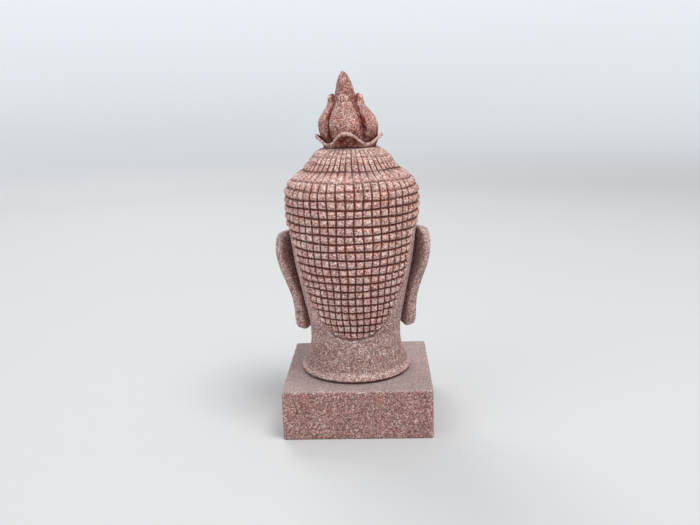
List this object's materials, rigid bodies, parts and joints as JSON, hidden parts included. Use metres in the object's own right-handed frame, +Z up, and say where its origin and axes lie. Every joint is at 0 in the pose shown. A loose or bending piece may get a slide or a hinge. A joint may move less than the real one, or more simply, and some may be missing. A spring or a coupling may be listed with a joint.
{
  "type": "small buddha head statuette on a plinth",
  "caption": "Small cast stone head with rows of hair knobs, long ears and a lotus-bud finial, standing on a square stone plinth.",
  "frame": {"origin": "under the head's axis, on the plinth's underside: the middle of the whole part's box, with the plinth 0.7 mm to the -X side", "axes": "+Z up, the face looks along -Y, the head is the same left and right of the YZ plane, except that its finial leans 1.5 mm to +X at the tip and the ear on +X sits 0.6 mm lower"},
  "size_m": [0.0476, 0.045, 0.1073],
  "materials": {
    "head_stone": "speckled pinkish brown sandstone composite, matt, with darker grooves between the hair knobs",
    "plinth_stone": "the same speckled stone, rubbed smoother, a little paler on its top"
  },
  "bodies": {
    "root": {"buddha_head": "head_stone", "plinth": "plinth_stone"}
  },
  "joints": []
}
